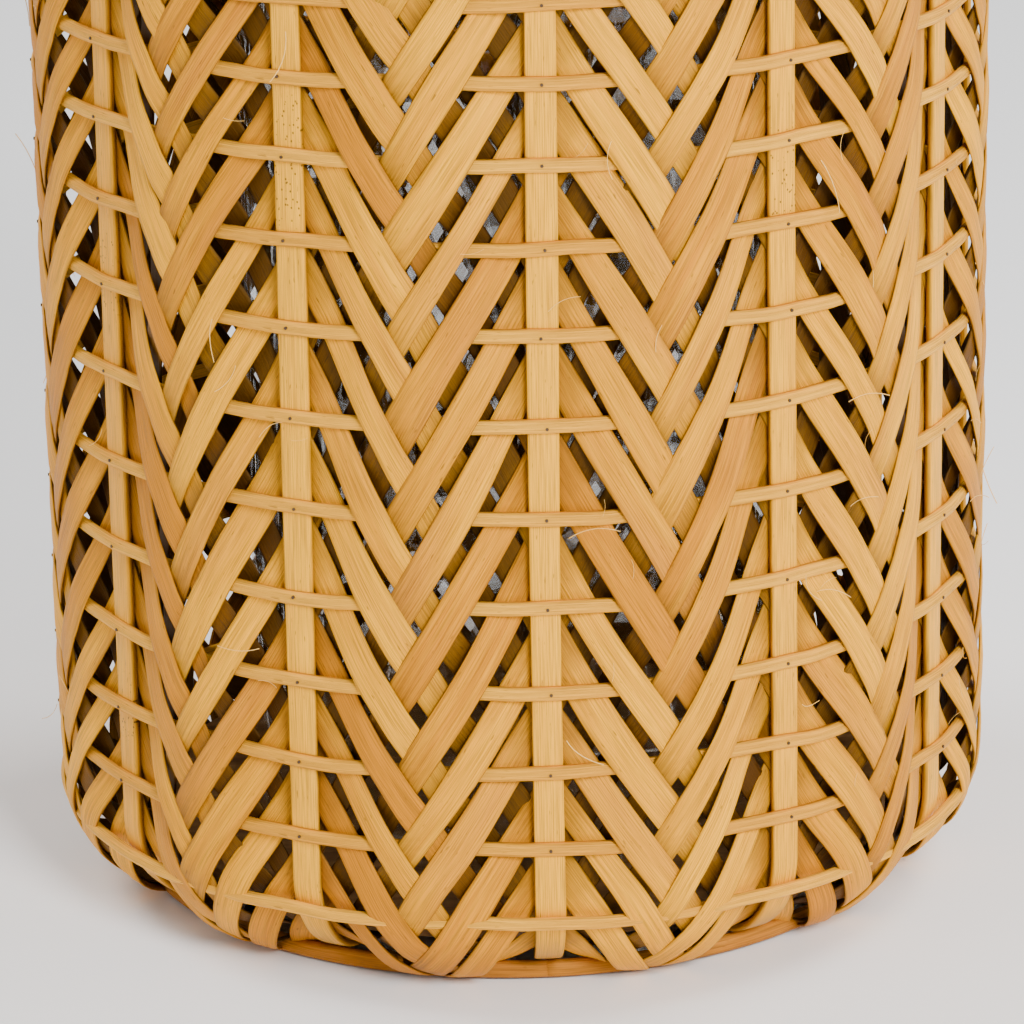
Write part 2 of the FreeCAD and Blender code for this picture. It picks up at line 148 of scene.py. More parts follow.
def cane_material(name, light, dark, stain, roughness, grain_depth, gloss, pores=0.0):
    """Split cane: grain along the second UV axis, warm patches, dark flecks and painted shade."""
    material = bpy.data.materials.new(name)
    material.use_nodes = True
    links, add = material.node_tree.links, node_adder(material.node_tree)
    shader = material.node_tree.nodes["Principled BSDF"]
    uv = add("ShaderNodeUVMap", uv_map="UVMap")

    def read(attribute):
        return add("ShaderNodeAttribute", attribute_name=attribute).outputs["Fac"]

    def stretched(across, along):
        return add("ShaderNodeMapping", {"Vector": uv.outputs["UV"],
                                         "Scale": (across, along, 1.0)}).outputs["Vector"]

    def grain(across, along, detail):
        return add("ShaderNodeTexNoise", {"Vector": stretched(across, along), "Scale": 1.0,
                                          "Detail": detail}).outputs["Fac"]

    def fit(value, low, high, to_low, to_high):
        return add("ShaderNodeMapRange", {"Value": value, "From Min": low, "From Max": high,
                                          "To Min": to_low, "To Max": to_high}).outputs["Result"]

    def mixed(mode, factor, first, second):
        node = add("ShaderNodeMix", {"Factor": factor}, data_type="RGBA", blend_type=mode)
        colours = [socket for socket in node.inputs if socket.type == "RGBA"]
        for socket, value in zip(colours, (first, second)):
            if isinstance(value, tuple):
                socket.default_value = (*value, 1.0)
            else:
                links.new(value, socket)
        return [socket for socket in node.outputs if socket.type == "RGBA"][0]

    fine, broad = grain(3400.0, 60.0, 3.0), grain(420.0, 20.0, 4.0)
    patch, fleck = grain(70.0, 13.0, 2.0), grain(1500.0, 260.0, 1.0)
    toned = fit(reckon(add, "ADD", broad, read("tone")), 0.6, 1.4, 0.0, 1.0)
    base = mixed("MIX", toned, dark, light)
    base = mixed("MIX", fit(patch, 0.52, 0.76, 0.0, 0.7), base, stain)
    line = fit(fine, 0.34, 0.60, 0.52, 1.08)
    lines = add("ShaderNodeCombineColor", {0: line, 1: line, 2: line})
    base = mixed("MULTIPLY", 0.8, base, lines.outputs["Color"])
    base = mixed("MIX", fit(fleck, 0.70, 0.77, 0.0, 0.6), base, FLECK_COLOUR)
    if pores:
        dots = add("ShaderNodeTexVoronoi", {"Vector": stretched(900.0, 700.0), "Scale": 1.0})
        band = fit(grain(18.0, 26.0, 0.0), 0.66, 0.72, 0.0, pores)
        dot = fit(dots.outputs["Distance"], 0.16, 0.24, 1.0, 0.0)
        spot = reckon(add, "MULTIPLY", dot, band)
        base = mixed("MIX", spot, base, PORE_COLOUR)
    # Painted shade: the colour is multiplied down where the shade attribute is low.
    shade = read("shade")
    painted_shade = add("ShaderNodeCombineColor", {channel: fit(shade, 0.0, 1.0, least, 1.0)
                                            for channel, least in enumerate(PAINTED_SHADE_COLOUR)})
    base = mixed("MULTIPLY", 1.0, base, painted_shade.outputs["Color"])
    links.new(base, shader.inputs["Base Color"])
    links.new(fit(fine, 0.0, 1.0, roughness - 0.08, roughness + 0.14), shader.inputs["Roughness"])
    shader.inputs["Specular IOR Level"].default_value = gloss
    shader.inputs["Specular Tint"].default_value = WARM_GLOSS
    height = reckon(add, "ADD", fine, reckon(add, "MULTIPLY", broad, 1.4))
    bump = add("ShaderNodeBump", {"Strength": 0.7, "Distance": grain_depth, "Height": height})
    links.new(bump.outputs["Normal"], shader.inputs["Normal"])
    return material


stake_skin = cane_material("split_bamboo_stake", STAKE_LIGHT, STAKE_DARK, (0.84, 0.40, 0.012),
                           0.40, 0.00022, 0.5, pores=0.9)
for number in range(STAKE_COUNT):
    length = np.linspace(-STAKE_OVERRUN, wall_length + STAKE_OVERRUN, STAKE_STATIONS)
    side, out = SHARP_PROFILE[:, 0], SHARP_PROFILE[:, 1]
    phase = chance.uniform(0, 2 * math.pi, 3)
    swell, sway, level = (stray * np.sin(length * waves + start)[:, None]
                          for stray, waves, start in zip(STAKE_STRAY, STAKE_WAVES, phase))
    across = side[None, :] * STAKE_SIDE * (1 + swell) + sway
    grid = wall_point(length[:, None], number * PANEL + across / wall_radius,
                      level + out[None, :] * 2 * STAKE_HALF)
    uv = np.stack(np.broadcast_arrays(across + number * STAKE_GRAIN_STEP[0],
                                      length[:, None] + number * STAKE_GRAIN_STEP[1]), -1)
    turn = np.maximum(bend_length - length, length - bend_length - straight)[:, None] / CORNER
    # Painted shade: the stake darkens where it turns in at the foot and the rim, on its inner face,
    # and along its edges.
    painted_edge_shade = np.interp(np.abs(side), (0.85, 0.97, 1.0), (1.0, 0.85, 0.35))
    shade = (np.clip(1.25 - 0.62 * np.clip(turn, 0, None), 0.25, 1)
             * np.where(out < -0.3, INNER_SHADE, painted_edge_shade))
    node = f"stake_{number + 1:02d}"
    stake = swept_pieces(node + "_bamboo", [grid], [chance.normal(0.55, 0.14)], [shade], [uv],
                         stake_skin)
    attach(stake, "basket")
    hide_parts(node)

# ---------------------------------------------------------------- rods
# Thirteen hoops of half-round cane go round the stakes, flat side in, one above another.
# Two thin round ones hold the bends.  None is quite level or quite straight.
ROD_SEAT = 1.05 * MM
ROD_RADIUS = 1.9 * MM
BEND_ROD_RADIUS = 1.7 * MM
ROD_WAVER = 3.6 * MM
HOOP_GIRTH = 9.0 * MM
ROD_LIGHT, ROD_DARK = (0.88, 0.42, 0.028), (0.68, 0.28, 0.012)
rod_skin = cane_material("half_round_cane", ROD_LIGHT, ROD_DARK, (0.72, 0.28, 0.015), 0.50, 0.00020,
                         0.35)


def start_tree(name, inputs):
    """A Geometry Nodes tree with named inputs, with its input sockets and its node adder."""
    tree = bpy.data.node_groups.new(name, "GeometryNodeTree")
    for direction in ("INPUT", "OUTPUT"):
        tree.interface.new_socket("Geometry", in_out=direction, socket_type="NodeSocketGeometry")
    for label, kind in inputs.items():
        tree.interface.new_socket(label, in_out="INPUT", socket_type="NodeSocket" + kind)
    return tree, tree.nodes.new("NodeGroupInput").outputs, node_adder(tree)


def end_tree(tree, geometry, material):
    """Ends a tree: its instances made real, then its material set."""
    add = node_adder(tree)
    real = add("GeometryNodeRealizeInstances", {"Geometry": geometry})
    skin = add("GeometryNodeSetMaterial", {"Geometry": real.outputs["Geometry"],
                                           "Material": material})
    add("NodeGroupOutput", {"Geometry": skin.outputs["Geometry"]})
    return tree


def hoop_tree():
    """Geometry Nodes: a wavering hoop swept with a half-round or round profile."""
    tree, given, add = start_tree("cane_hoop", {
        "Radius": "Float", "Height": "Float", "Section": "Float", "Flat Back": "Float",
        "Waver": "Float", "Tone": "Float", "Seed": "Float", "Cane": "Material"})

    def store(name, geometry, value, data_type="FLOAT", domain="POINT"):
        return add("GeometryNodeStoreNamedAttribute",
                   {"Geometry": geometry, "Name": name, "Value": value},
                   data_type=data_type, domain=domain).outputs["Geometry"]

    def stored(name):
        return add("GeometryNodeInputNamedAttribute", {"Name": name},
                   data_type="FLOAT").outputs["Attribute"]

    hoop = add("GeometryNodeCurvePrimitiveCircle", {"Resolution": 216, "Radius": given["Radius"]})
    place = add("GeometryNodeInputPosition").outputs["Position"]
    stretch = add("ShaderNodeVectorMath", {0: place, "Scale": 26.0}, operation="SCALE")
    noise = add("ShaderNodeTexNoise", {"Vector": stretch.outputs["Vector"], "W": given["Seed"],
                                       "Scale": 1.0, "Detail": 2.0}, noise_dimensions="4D")
    centred = reckon(add, "SUBTRACT", noise.outputs["Fac"], 0.5)
    stray = reckon(add, "MULTIPLY", centred, given["Waver"])
    lift = add("ShaderNodeCombineXYZ", {"Z": reckon(add, "ADD", stray, given["Height"])})
    moved = add("GeometryNodeSetPosition", {"Geometry": hoop.outputs["Curve"],
                                            "Offset": lift.outputs["Vector"]})
    along = add("GeometryNodeSplineParameter").outputs["Length"]
    path = store("along", moved.outputs["Geometry"], along)
    circle = add("GeometryNodeCurvePrimitiveCircle", {"Resolution": 12, "Radius": 1.0})
    point = add("ShaderNodeSeparateXYZ", {
        "Vector": add("GeometryNodeInputPosition").outputs["Position"]})
    flat_back = reckon(add, "MAXIMUM", point.outputs["X"], given["Flat Back"])
    flattened = add("ShaderNodeCombineXYZ", {"X": flat_back, "Y": point.outputs["Y"]})
    sized = add("ShaderNodeVectorMath", {0: flattened.outputs["Vector"],
                                         "Scale": given["Section"]}, operation="SCALE")
    shaped = add("GeometryNodeSetPosition", {"Geometry": circle.outputs["Curve"],
                                             "Position": sized.outputs["Vector"]})
    around = add("GeometryNodeSplineParameter").outputs["Factor"]
    section = store("around", shaped.outputs["Geometry"], around)
    swept = add("GeometryNodeCurveToMesh", {"Curve": path, "Profile Curve": section})
    girth = reckon(add, "MULTIPLY", stored("around"), HOOP_GIRTH)
    unrolled = add("ShaderNodeCombineXYZ", {"X": girth, "Y": stored("along")})
    cane = store("UVMap", swept.outputs["Mesh"], unrolled.outputs["Vector"], "FLOAT2", "CORNER")
    cane = store("tone", cane, given["Tone"])
    cane = store("shade", cane, 1.0)
    smooth = add("GeometryNodeSetShadeSmooth", {"Geometry": cane})
    return end_tree(tree, smooth.outputs["Geometry"], given["Cane"])


def grown(name, tree, base_mesh=None, **inputs):
    """The plain mesh object that a Geometry Nodes tree makes from its named inputs."""
    holder = bpy.data.objects.new(name + "_plan", base_mesh or bpy.data.meshes.new(name + "_plan"))
    bpy.context.scene.collection.objects.link(holder)
    modifier = holder.modifiers.new("grow", "NODES")
    modifier.node_group = tree
    for item in tree.interface.items_tree:
        if item.item_type == "SOCKET" and item.in_out == "INPUT" and item.name in inputs:
            modifier[item.identifier] = inputs[item.name]
    evaluated = holder.evaluated_get(bpy.context.evaluated_depsgraph_get())
    mesh = bpy.data.meshes.new_from_object(evaluated)
    holder.modifiers.remove(modifier)
    bpy.data.objects.remove(holder)
    mesh.name = name
    made = bpy.data.objects.new(name, mesh)
    bpy.context.scene.collection.objects.link(made)
    return made


hoop_nodes = hoop_tree()
rod_names = sorted(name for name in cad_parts
                   if name.startswith("rod_") and name != "rod_brads")
rod_heights = [sum(corner[2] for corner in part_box(name)) / 2 for name in rod_names]
for number, node in enumerate(rod_names + ["foot_bend_rod", "rim_bend_rod"]):
    low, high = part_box(node)
    on_bend = node.endswith("bend_rod")
    rod = grown(node + "_cane", hoop_nodes, **{
        "Radius": high[0] - BEND_ROD_RADIUS if on_bend else wall_radius + ROD_SEAT,
        "Height": (low[2] + high[2]) / 2, "Section": BEND_ROD_RADIUS if on_bend else ROD_RADIUS,
        "Flat Back": -1.0 if on_bend else 0.0, "Waver": ROD_WAVER,
        "Tone": float(chance.normal(0.55, 0.15)), "Seed": number * 3.7, "Cane": rod_skin})
    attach(rod, "basket")
    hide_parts(node)

# ---------------------------------------------------------------- diagonal strips
# Sixty flat strips of split bamboo lean each way.  A strip comes out from behind one stake,
# runs under one rod and over the next, and tucks in under the others at the foot of a V.
STRIP_COUNT = 60
STRIP_HALF = 4.6 * MM
STRIP_THICK = 0.85 * MM
STRIP_DROP = 0.234
STRIP_OVERRUN = 1.5 * MM
STATIONS_PER_ROW = 9
# How a strip strays sideways: radians to the row, and millimetres.
STRIP_WAVES = ((0.38, 0.85), (0.95, 0.48), (2.3, 0.20))
STRIP_WIDTHS, STRIP_THICKNESSES, STRIP_TWIST = (0.86, 1.12), (0.85, 1.15), 0.2
STRIP_TONE, STRIP_TONE_SPREAD = 0.52, 0.24
STRIP_GRAIN_STEP, STRIP_GRAIN_SLANT = (0.0371, 0.173), (0.86, 1.16)
STRIP_LIGHT, STRIP_DARK = (0.94, 0.415, 0.003), (0.58, 0.205, 0.002)
ROWS_PER_PANEL = STRIP_COUNT / STAKE_COUNT
BEND_ROD_OUT = 2.75 * MM
# Outer strips lap over the rings: how far out, in millimetres, and between which turns of a bend.
RING_LAP, RING_LAP_TURNS = 1.05, (math.radians(42), math.radians(70))
# Where a strip lies across a panel, as a share of the panel, and its level out of the wall in
# millimetres: first the strips that fall to the right, then those that fall to the left.
RIGHT_FALL = ((0.0, 0.10, 0.355, 0.425, 0.50, 0.59, 0.77, 0.93, 1.0),
              (-1.50, -1.40, 4.00, 4.45, 3.45, 3.30, -2.30, -2.60, -1.50))
LEFT_FALL = ((0.0, 0.07, 0.365, 0.42, 0.50, 0.60, 0.77, 0.93, 1.0),
             (-2.55, -2.05, 4.00, 4.45, 4.45, 3.35, -2.30, -2.60, -2.55))
CROSSING_SKEW = 0.5
# How much daylight a strip keeps along the same stretch: it is bare, then under the next strips.
DAYLIGHT = ((0.0, 0.08, 0.14, 0.43, 0.52, 0.60, 0.70, 0.86, 0.93, 1.0),
            (0.36, 0.58, 1.0, 1.0, 0.85, 0.22, 0.06, 0.06, 0.22, 0.36))
THIN_PROFILE = np.array([(-1.0, 0.0), (-0.95, 0.36), (-0.72, 0.5), (0.0, 0.53), (0.72, 0.5),
                         (0.95, 0.36), (1.0, 0.0), (0.85, -0.5), (0.0, -0.5), (-0.85, -0.5)])
strip_skin = cane_material("split_bamboo_strip", STRIP_LIGHT, STRIP_DARK, (0.54, 0.19, 0.022),
                           0.52, 0.00032, 0.35)

bend_turn = math.asin((bend_height - sum(c[2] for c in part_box("foot_bend_rod")) / 2)
                      / (CORNER + BEND_ROD_OUT))
row_lengths = [bend_length + height - bend_height for height in rod_heights]
row_lengths.insert(0, bend_length - CORNER * bend_turn)
row_lengths.append(wall_length - row_lengths[0])
SPARE_ROWS = 3
for _ in range(SPARE_ROWS):
    row_lengths.insert(0, 2 * row_lengths[0] - row_lengths[1])
    row_lengths.append(2 * row_lengths[-1] - row_lengths[-2])
row_lengths = np.array(row_lengths)
FIRST_ROW = -1 - SPARE_ROWS


def length_of(row):
    """Length up the wall of a row number, which need not be whole."""
    place = np.clip(np.asarray(row, float) - FIRST_ROW, 1.0, len(row_lengths) - 2.001)
    index = place.astype(int)
    share = place - index
    start, end = row_lengths[index], row_lengths[index + 1]
    start_slope = (end - row_lengths[index - 1]) / 2
    end_slope = (row_lengths[np.minimum(index + 2, len(row_lengths) - 1)] - start) / 2
    square, cube = share ** 2, share ** 3
    return ((2 * cube - 3 * square + 1) * start + (cube - 2 * square + share) * start_slope
            + (3 * square - 2 * cube) * end + (cube - square) * end_slope)


def row_of(length):
    """Row number of a length up the wall."""
    rows = np.linspace(FIRST_ROW + 1, FIRST_ROW + len(row_lengths) - 2, 600)
    return float(np.interp(length, length_of(rows), rows))


def eased(low, high, value):
    share = np.clip((value - low) / (high - low), 0.0, 1.0)
    return share * share * (3 - 2 * share)


def level_at(table, value):
    """Level at a share of the panel, easing from each listed place to the next."""
    places, levels = np.asarray(table[0]), np.asarray(table[1])
    index = np.clip(np.searchsorted(places, value, side="right") - 1, 0, len(places) - 2)
    return levels[index] + (levels[index + 1] - levels[index]) * eased(
        places[index], places[index + 1], value)


FOOT_ROW, RIM_ROW = row_of(-STRIP_OVERRUN), row_of(wall_length + STRIP_OVERRUN)


def strip_grid(number, fall):
    """One strip from the foot to the rim; fall is 1 where it falls to the right."""
    rows = np.linspace(FOOT_ROW, RIM_ROW, int((RIM_ROW - FOOT_ROW) * STATIONS_PER_ROW))
    panels = -fall * (rows - number + STRIP_DROP) / ROWS_PER_PANEL
    side, out = THIN_PROFILE[:, 0], THIN_PROFILE[:, 1]
    half = STRIP_HALF * chance.uniform(*STRIP_WIDTHS) / wall_radius
    thick = STRIP_THICK * chance.uniform(*STRIP_THICKNESSES)
    sway, swell, lift = np.zeros_like(rows), np.ones_like(rows), np.zeros_like(rows)
    for waves, reach in STRIP_WAVES:
        phase = chance.uniform(0, 2 * math.pi, 3)
        sway += reach * MM / wall_radius * np.sin(rows * waves + phase[0])
        swell += 0.10 * reach * np.sin(rows * waves * 1.7 + phase[1])
        lift += 0.10 * reach * np.sin(rows * waves + phase[2])
    across = side[None, :] * half * swell[:, None]
    angle = (panels * PANEL + sway)[:, None] + across
    # A crossing runs along the strips that are met there, so the level is read on a skew.
    share = fall * (panels[:, None] + CROSSING_SKEW * across / PANEL) % 1.0
    level = level_at(RIGHT_FALL if fall > 0 else LEFT_FALL, share) + lift[:, None]
    twist = STRIP_TWIST * np.sin(rows * 1.9 + chance.uniform(0, 6.3))
    level = level + twist[:, None] * side[None, :]
    length = length_of(rows)[:, None]
    turn = np.maximum(bend_length - length, length - bend_length - straight) / CORNER
    level = level + RING_LAP * eased(1.0, 3.0, level) * eased(*RING_LAP_TURNS, turn)
    grid = wall_point(length, angle, level * MM + out[None, :] * thick)
    grid[..., 2] = np.clip(grid[..., 2], 0.0, body_height)
    grain_across = across * wall_radius * STRIP_GRAIN_SLANT[0] + number * STRIP_GRAIN_STEP[0]
    grain_along = length * STRIP_GRAIN_SLANT[1] + number * STRIP_GRAIN_STEP[1]
    uv = np.stack(np.broadcast_arrays(grain_across, grain_along), -1)
    # Painted shade: a strip darkens where it runs under the others, on its inner face, and along
    # its edges.
    painted_edge_shade = np.interp(np.abs(side), (0.72, 0.95, 1.0), (1.0, 0.80, 0.30))
    shade = level_at(DAYLIGHT, share) * np.where(out < -0.3, INNER_SHADE, painted_edge_shade)
    return grid, uv, shade


for label, node, fall in (("strips_falling_right", "left_leaning_strips", 1),
                          ("strips_falling_left", "right_leaning_strips", -1)):
    grids, uvs, shades = zip(*(strip_grid(number, fall) for number in range(STRIP_COUNT)))
    tones = chance.normal(STRIP_TONE, STRIP_TONE_SPREAD, STRIP_COUNT)
    strips = swept_pieces(label, grids, tones, shades, uvs, strip_skin)
    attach(strips, "basket")
    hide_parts(node)

# ---------------------------------------------------------------- loose fibres
# Split bamboo frays: a few fine straw-coloured fibres stand off the edges of the strips.
# Each is one bent hair of bamboo that is still joined to the strip at one end.
FIBRE_COUNT = 120
FIBRE_RADIUS = 0.10 * MM
FIBRE_LENGTH = 10.0 * MM
FIBRE_LEVEL = 4.4 * MM
FIBRE_SHARES = (0.14, 0.42)


def mottled_material(name, dark, light, stretch, finish, detail=2.0, fade=(0.0, 1.0)):
    """A finish that drifts from one colour to another along a noise on Object coordinates."""
    material = bpy.data.materials.new(name)
    material.use_nodes = True
    add = node_adder(material.node_tree)
    shader = material.node_tree.nodes["Principled BSDF"]
    place = add("ShaderNodeMapping", {"Vector": add("ShaderNodeTexCoord").outputs["Object"],
                                      "Scale": stretch})
    noise = add("ShaderNodeTexNoise", {"Vector": place.outputs["Vector"], "Scale": 1.0,
                                       "Detail": detail})
    ramp = add("ShaderNodeValToRGB", {"Fac": noise.outputs["Fac"]})
    for stop, colour, position in zip(ramp.color_ramp.elements, (dark, light), fade):
        stop.color = (*colour, 1.0)
        stop.position = position
    material.node_tree.links.new(ramp.outputs["Color"], shader.inputs["Base Color"])
    for label, value in finish.items():
        shader.inputs[label].default_value = value
    return material


def outward(add):
    """The rotation that points Z straight out from the lantern's axis."""
    place = add("GeometryNodeInputPosition")
    level = add("ShaderNodeVectorMath", {0: place.outputs["Position"], 1: (1.0, 1.0, 0.0)},
                operation="MULTIPLY")
    return add("FunctionNodeAlignRotationToVector", {"Vector": level.outputs["Vector"]},
               axis="Z").outputs["Rotation"]


def fibre_tree():
    """Geometry Nodes: a bent fibre on every point, standing off the wall at a chance turn."""
    tree, given, add = start_tree("loose_fibres", {
        "Radius": "Float", "Length": "Float", "Seed": "Int", "Straw": "Material"})
    bend = add("GeometryNodeCurveQuadraticBezier", {
        "Resolution": 7, "Start": (0.0, 0.0, -0.04), "Middle": (0.55, 0.16, 0.02),
        "End": (1.0, -0.10, 0.24)})
    size = add("ShaderNodeCombineXYZ", {axis: given["Length"] for axis in "XYZ"})
    longer = add("GeometryNodeTransform", {"Geometry": bend.outputs["Curve"],
                                           "Scale": size.outputs["Vector"]})
    section = add("GeometryNodeCurvePrimitiveCircle", {"Resolution": 4,
                                                       "Radius": given["Radius"]})
    fibre = add("GeometryNodeCurveToMesh", {
        "Curve": longer.outputs["Geometry"], "Profile Curve": section.outputs["Curve"],
        "Fill Caps": True})
    spin = add("FunctionNodeRandomValue", {
        0: (-0.2, -0.2, -3.14), 1: (0.2, 0.2, 3.14), "Seed": given["Seed"]},
        data_type="FLOAT_VECTOR")
    angles = add("FunctionNodeEulerToRotation", {0: spin.outputs[0]})
    turned = add("FunctionNodeRotateRotation", {
        "Rotation": outward(add), "Rotate By": angles.outputs["Rotation"]},
        rotation_space="LOCAL")
    stretch = add("FunctionNodeRandomValue", {2: 0.4, 3: 1.3, "Seed": given["Seed"]},
                  data_type="FLOAT")
    put = add("GeometryNodeInstanceOnPoints", {
        "Points": given["Geometry"], "Instance": fibre.outputs["Mesh"],
        "Rotation": turned.outputs["Rotation"], "Scale": stretch.outputs[1]})
    return end_tree(tree, put.outputs["Instances"], given["Straw"])


straw = mottled_material("straw_fibre", (0.80, 0.36, 0.03), (0.95, 0.66, 0.22),
                         (90.0, 90.0, 90.0), {"Roughness": 0.6})
fibre_rows = chance.uniform(0.2, len(rod_heights) - 1.2, FIBRE_COUNT)
fibre_strips = chance.integers(0, STRIP_COUNT, FIBRE_COUNT)
fibre_falls = np.where(chance.uniform(0, 1, FIBRE_COUNT) > 0.5, 1, -1)
fibre_edge = np.where(chance.uniform(0, 1, FIBRE_COUNT) > 0.5, 1, -1) * STRIP_HALF / wall_radius
fibre_panels = np.round(fibre_rows / ROWS_PER_PANEL) + chance.uniform(*FIBRE_SHARES, FIBRE_COUNT)
fibre_rows = (fibre_panels * ROWS_PER_PANEL + fibre_strips - STRIP_DROP) % (len(rod_heights) - 1)
fibre_turns = -fibre_falls * (fibre_rows - fibre_strips + STRIP_DROP) / ROWS_PER_PANEL
fibre_places = wall_point(length_of(fibre_rows), fibre_turns * PANEL + fibre_edge, FIBRE_LEVEL)
fibre_plan = bpy.data.meshes.new("fibre_places")
fibre_plan.from_pydata(fibre_places.tolist(), [], [])
fibres = grown("loose_fibres", fibre_tree(), fibre_plan,
               **{"Radius": FIBRE_RADIUS, "Length": FIBRE_LENGTH, "Seed": 5, "Straw": straw})
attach(fibres, "basket")

# ---------------------------------------------------------------- brads
# A small browned steel brad goes through each rod into each stake.
# It is a short round pin, driven in until it stands a quarter of a millimetre proud.
BRAD_RADIUS = 0.42 * MM
BRAD_LENGTH = 1.2 * MM
BRAD_PROUD = 0.25 * MM
BRAD_STRAY = 0.006
steel = mottled_material("browned_steel", (0.035, 0.022, 0.014), (0.13, 0.075, 0.04),
                         (900.0, 900.0, 900.0), {"Roughness": 0.5, "Metallic": 0.6})


def brad_tree():
    """Geometry Nodes: a short pin on every point, pointing straight out."""
    tree, given, add = start_tree("brads", {
        "Radius": "Float", "Length": "Float", "Steel": "Material"})
    pin = add("GeometryNodeMeshCylinder", {"Vertices": 8, "Radius": given["Radius"],
                                           "Depth": given["Length"]})
    put = add("GeometryNodeInstanceOnPoints", {
        "Points": given["Geometry"], "Instance": pin.outputs["Mesh"], "Rotation": outward(add)})
    return end_tree(tree, put.outputs["Instances"], given["Steel"])


brad_reach = wall_radius + ROD_SEAT + ROD_RADIUS - BRAD_LENGTH / 2 + BRAD_PROUD
brad_places = [(brad_reach * math.sin(angle), -brad_reach * math.cos(angle), height)
               for height in rod_heights for angle in np.arange(STAKE_COUNT) * PANEL
               + chance.uniform(-BRAD_STRAY, BRAD_STRAY, STAKE_COUNT)]
brad_plan = bpy.data.meshes.new("brad_places")
brad_plan.from_pydata(brad_places, [], [])
brads = grown("brads", brad_tree(), brad_plan,
              **{"Radius": BRAD_RADIUS, "Length": BRAD_LENGTH, "Steel": steel})
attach(brads, "basket")
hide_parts("rod_brads")

# ---------------------------------------------------------------- foot ring, rim ring and mouth
# Flattened cane rings close the foot and the rim, and a round cane lines the mouth inside them.
# All three are cane bent into hoops, and the outer strips lap over the two flat ones.
RING_LIGHT, RING_DARK = (0.62, 0.24, 0.020), (0.34, 0.11, 0.010)
ring_skin = cane_material("flattened_ring_cane", RING_LIGHT, RING_DARK, (0.26, 0.08, 0.010), 0.5,
                          0.0004, 0.35)
RING_SECTION = np.array([(-0.5, -0.9), (-0.86, -0.7), (-1.0, -0.2), (-1.0, 0.5), (-0.7, 0.9),
                         (0.0, 1.0), (0.7, 0.9), (1.0, 0.5), (1.0, -0.2), (0.86, -0.7),
                         (0.5, -0.9)])
RING_RADIUS, RING_MIDDLE = 100.9 * MM, 3.1 * MM
RING_HALF_HEIGHT, RING_HALF_WIDTH, RING_WAVER = 2.2 * MM, 1.6 * MM, 0.12 * MM
MOUTH_RADIUS, MOUTH_WAVER = 3.0 * MM, 0.5 * MM


def ring_grid(height):
    """A closed flattened hoop at a height, which strays a little."""
    angle = np.linspace(0, 2 * math.pi, 241)
    stray = sum(RING_WAVER / waves ** 0.5 * np.sin(angle * waves + chance.uniform(0, 6.3))
                for waves in (1, 3, 7))
    up, out = RING_SECTION[:, 0] * RING_HALF_HEIGHT, RING_SECTION[:, 1] * RING_HALF_WIDTH
    radius = np.tile(RING_RADIUS + out, (len(angle), 1))
    grid = np.stack([radius * np.sin(angle)[:, None], -radius * np.cos(angle)[:, None],
                     height + up[None, :] + stray[:, None]], -1)
    uv = np.stack(np.broadcast_arrays(np.arange(len(up))[None, :] * 0.9 * MM,
                                      angle[:, None] * RING_RADIUS), -1)
    return grid, uv


for node, height in (("foot_ring", RING_MIDDLE), ("rim_ring", body_height - RING_MIDDLE)):
    grid, uv = ring_grid(height)
    ring = swept_pieces(node + "_cane", [grid], [0.5], [np.ones(grid.shape[:2])], [uv], ring_skin)
    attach(ring, "basket")
    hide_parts(node)
low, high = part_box("mouth_cane")
mouth = grown("mouth_cane_round", hoop_nodes, **{
    "Radius": high[0] - MOUTH_RADIUS, "Height": (low[2] + high[2]) / 2, "Section": MOUTH_RADIUS,
    "Flat Back": -1.0, "Waver": MOUTH_WAVER, "Tone": 0.5, "Seed": 91.0, "Cane": ring_skin})
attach(mouth, "basket")
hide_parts("mouth_cane")

# ---------------------------------------------------------------- floor board
# A disc of bare plywood lies on the turned-in ends of the stakes and strips.
# It is sawn round and left unfinished, and the glass stands on it.
board_wood = mottled_material("bare_plywood", (0.26, 0.12, 0.035), (0.55, 0.30, 0.10),
                              (30.0, 220.0, 700.0), {"Roughness": 0.7}, detail=4.0,
                              fade=(0.3, 0.7))
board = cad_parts["floor_board"]
board.material_slots[0].material = board_wood

# ---------------------------------------------------------------- glass cylinder
# A thick-walled clear glass, with a rounded lip and a thick floor, stands on the board.
# Nothing holds it, and it lifts out by hand.
clear_glass = bpy.data.materials.new("clear_glass")
clear_glass.use_nodes = True
glass_shader = clear_glass.node_tree.nodes["Principled BSDF"]
glass_shader.inputs["Base Color"].default_value = (0.93, 0.96, 0.96, 1.0)
glass_shader.inputs["Roughness"].default_value = 0.02
glass_shader.inputs["Transmission Weight"].default_value = 1.0
glass_shader.inputs["IOR"].default_value = 1.46
glass_shader.inputs["Alpha"].default_value = 0.30
GLASS_SIDES = 128
GLASS_WALL, GLASS_FLOOR, LIP = 3.2 * MM, 6.0 * MM, 1.2 * MM
low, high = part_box("glass_cylinder")
outer, inner = high[0], high[0] - GLASS_WALL
outline = [(0.0, low[2]), (outer - 2.5 * MM, low[2]), (outer - 0.7 * MM, low[2] + 0.7 * MM),
           (outer, low[2] + 2.5 * MM), (outer, high[2] - LIP),
           (outer - 0.4 * MM, high[2] - 0.35 * MM), (outer - LIP, high[2]),
           (inner + LIP, high[2]), (inner + 0.4 * MM, high[2] - 0.35 * MM),
           (inner, high[2] - LIP), (inner, low[2] + GLASS_FLOOR + 4 * MM),
           (inner - 1.2 * MM, low[2] + GLASS_FLOOR + 1.2 * MM),
           (inner - 4 * MM, low[2] + GLASS_FLOOR), (0.0, low[2] + GLASS_FLOOR)]
glass_points, glass_faces = [(0.0, 0.0, outline[0][1]), (0.0, 0.0, outline[-1][1])], []
rings = outline[1:-1]
for radius, height in rings:
    for side_number in range(GLASS_SIDES):
        angle = 2 * math.pi * side_number / GLASS_SIDES
        glass_points.append((radius * math.cos(angle), radius * math.sin(angle), height))
